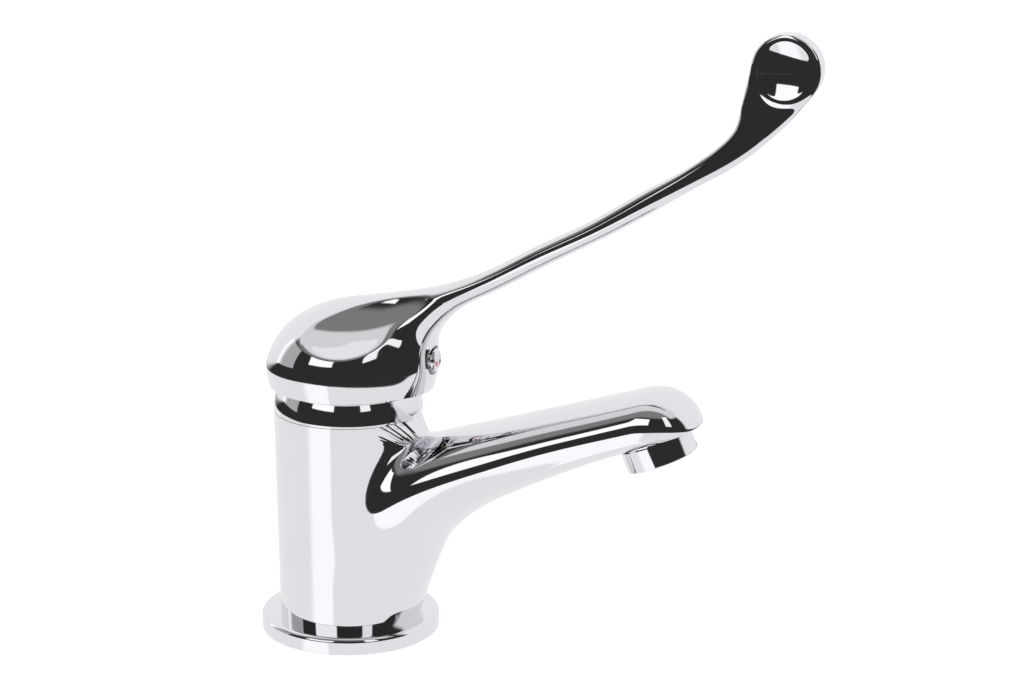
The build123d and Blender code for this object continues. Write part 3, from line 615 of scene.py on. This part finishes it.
def hollowField(places):
    middle, turn, rise, radius, curve = lever["hollow"]
    turn, rise = math.radians(turn), math.radians(rise)
    flat = math.cos(rise)
    axis = np.array([flat * math.cos(turn), -flat * math.sin(turn), math.sin(rise)])
    # the same on both sides of the lever
    offset = np.stack([places[:, 0], np.abs(places[:, 1]), places[:, 2]], 1) - np.array(middle)
    run = offset @ axis
    radius = radius - curve + np.sqrt(np.maximum(curve ** 2 - run ** 2, lever["hollowLeast"]))
    return np.sqrt((offset ** 2).sum(1) - run ** 2) - radius


def leverField(places, row):
    length, level = leverLengths[row], leverRows[row, 5]
    arms, squares = ((1 - level) * length, level * length), (leverRows[row, 6], leverRows[row, 7])
    stalk = sectionField(places, leverBellies[row], leverAxes[row], leverRows[row, 4], arms, squares)
    flat, rise = np.hypot(places[:, 0], places[:, 1]), places[:, 2] - lever["hubMiddle"]
    across = (places[:, 1] / np.maximum(flat, least)) ** 2
    angle = np.arctan2(rise, flat)
    toBack, toSide, toFront = [np.interp(angle, fineAngles, reach) for reach in hubReaches]
    lengthwise = np.where(places[:, 0] > 0, toFront, toBack)
    hub = np.hypot(flat, rise) - lengthwise * (1 - across) - toSide * across
    shape = joined(stalk, hub, lever["hubFillet"])
    shape = cutBy(shape, hollowField(places), lever["hollowEdge"])
    east, across, high = places[:, 0], np.abs(places[:, 1]), places[:, 2]
    padX, padZ = lever["pad"]
    wide = np.hypot(east - padX, high - padZ) - lever["padRadius"] + lever["padRound"]
    deep = across - lever["padHalf"] + lever["padRound"]
    coin = np.hypot(np.maximum(wide, 0), np.maximum(deep, 0)) - lever["padRound"]
    coin = coin + np.minimum(np.maximum(wide, deep), 0)
    shape = np.where(east > lever["padFrom"], joined(shape, coin, lever["padFillet"]), shape)
    ballRadius, ballOut = lever["dish"]
    dish = np.sqrt((east - padX) ** 2 + (across - ballOut) ** 2 + (high - padZ) ** 2) - ballRadius
    shape = cutBy(shape, dish, lever["dishEdge"])
    seatX, seatZ, seatRadius = lever["button"]
    seat = np.maximum(np.hypot(across, high - seatZ) - seatRadius, seatX - east)
    return cutBy(shape, seat, lever["buttonEdge"])


mesh = rayShape(middles, leverAxes, lever["columns"], leverField, lever["reach"], lever["steps"])
edges = openEdges(mesh, lever["rim"] - 1, lever["rim"] + 1)
for radius, height in lever["cavity"]:
    edges = stepIn(mesh, edges, radius, height)
closeHoles(mesh)
finishPiece(mesh, "leverHandle", "lever", "chrome_plate", "lever_handle")
print("lever shaped")


# base ring

ring = {
    # underside with the gasket's groove: radius and height
    "outline": [(22.15, 0.0), (23.8, 0.0), (23.8, 2.25), (28.5, 2.25), (28.5, 0.0), (29.75, 0.0),
                (30.05, 0.3)],
    "bore": 22.15, "outer": 30.05, "height": 5.8, "round": 1.7, "steps": 10, "turns": 160,
}


def turned(outline, turns):
    # spins an outline of radius and height about Z
    mesh = bmesh.new()
    verts = [mesh.verts.new((radius * mm, 0, height * mm)) for radius, height in outline]
    edges = [mesh.edges.new((verts[i - 1], verts[i])) for i in range(len(verts))]
    bmesh.ops.spin(mesh, geom=verts + edges, cent=(0, 0, 0), axis=(0, 0, 1), angle=2 * math.pi,
                   steps=turns, use_merge=True)
    bmesh.ops.remove_doubles(mesh, verts=mesh.verts, dist=thin)
    return mesh


outline = list(ring["outline"])
for i in range(ring["steps"] + 1):
    lean = math.pi / 2 * i / ring["steps"]
    inward, down = 1 - math.cos(lean), 1 - math.sin(lean)
    outline.append((ring["outer"] - ring["round"] * inward, ring["height"] - ring["round"] * down))
outline.append((ring["bore"], ring["height"]))
finishPiece(turned(outline, ring["turns"]), "baseRing", "body", "chrome_plate", "base_ring")
print("ring shaped")

# domed collar over the cartridge nut

collar = {"outer": [(22.45, 76.6), (24.55, 76.6), (24.85, 76.75), (24.92, 77.1)],
          "dome": [(24.92, 77.1), (24.85, 78.3), (24.62, 80.0), (24.2, 82.0), (23.5, 84.2),
                   (22.4, 86.4), (20.6, 88.5), (18.2, 89.6), (16.0, 89.8)],
          "steps": 40, "inner": [(14.2, 89.8), (14.2, 87.9), (20.0, 87.9), (22.45, 85.4)]}
dome = np.array(collar["dome"])
domeRun = runs(dome)
arc = smoothTable(domeRun, dome, np.linspace(0, domeRun[-1], collar["steps"]))
outline = collar["outer"] + [tuple(point) for point in arc[1:]] + collar["inner"]
finishPiece(turned(outline, ring["turns"]), "bonnetCollar", "body", "chrome_plate", "bonnet_collar")
print("collar shaped")
